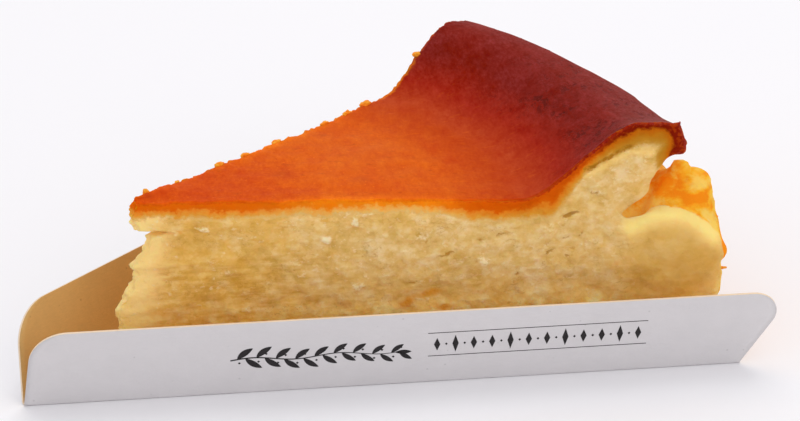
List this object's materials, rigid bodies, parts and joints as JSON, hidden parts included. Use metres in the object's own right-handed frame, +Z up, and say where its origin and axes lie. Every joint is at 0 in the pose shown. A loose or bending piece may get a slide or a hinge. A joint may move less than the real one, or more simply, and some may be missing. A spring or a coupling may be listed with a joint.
{
  "type": "burnt cheesecake slice in a card slice holder",
  "caption": "Wedge of burnt cheesecake with a sunken top and a raised dark rim, lying in a folded card slice holder with two low flaps.",
  "frame": {"origin": "bottom centre of the whole part, on the underside of the card base", "axes": "+X along the near fold of the card, from the slice's tip to its rim; +Z up; -Y is the side of the near flap and the near cut"},
  "size_m": [0.1562, 0.1266, 0.0535],
  "materials": {
    "cheesecake": "moist crumbly cream cheese on the cuts, smooth burnt skin on top",
    "card": "matt, white outside and brown kraft inside"
  },
  "bodies": {
    "root": {"cheesecake_slice": "cheesecake", "card_holder": "card"}
  },
  "joints": []
}
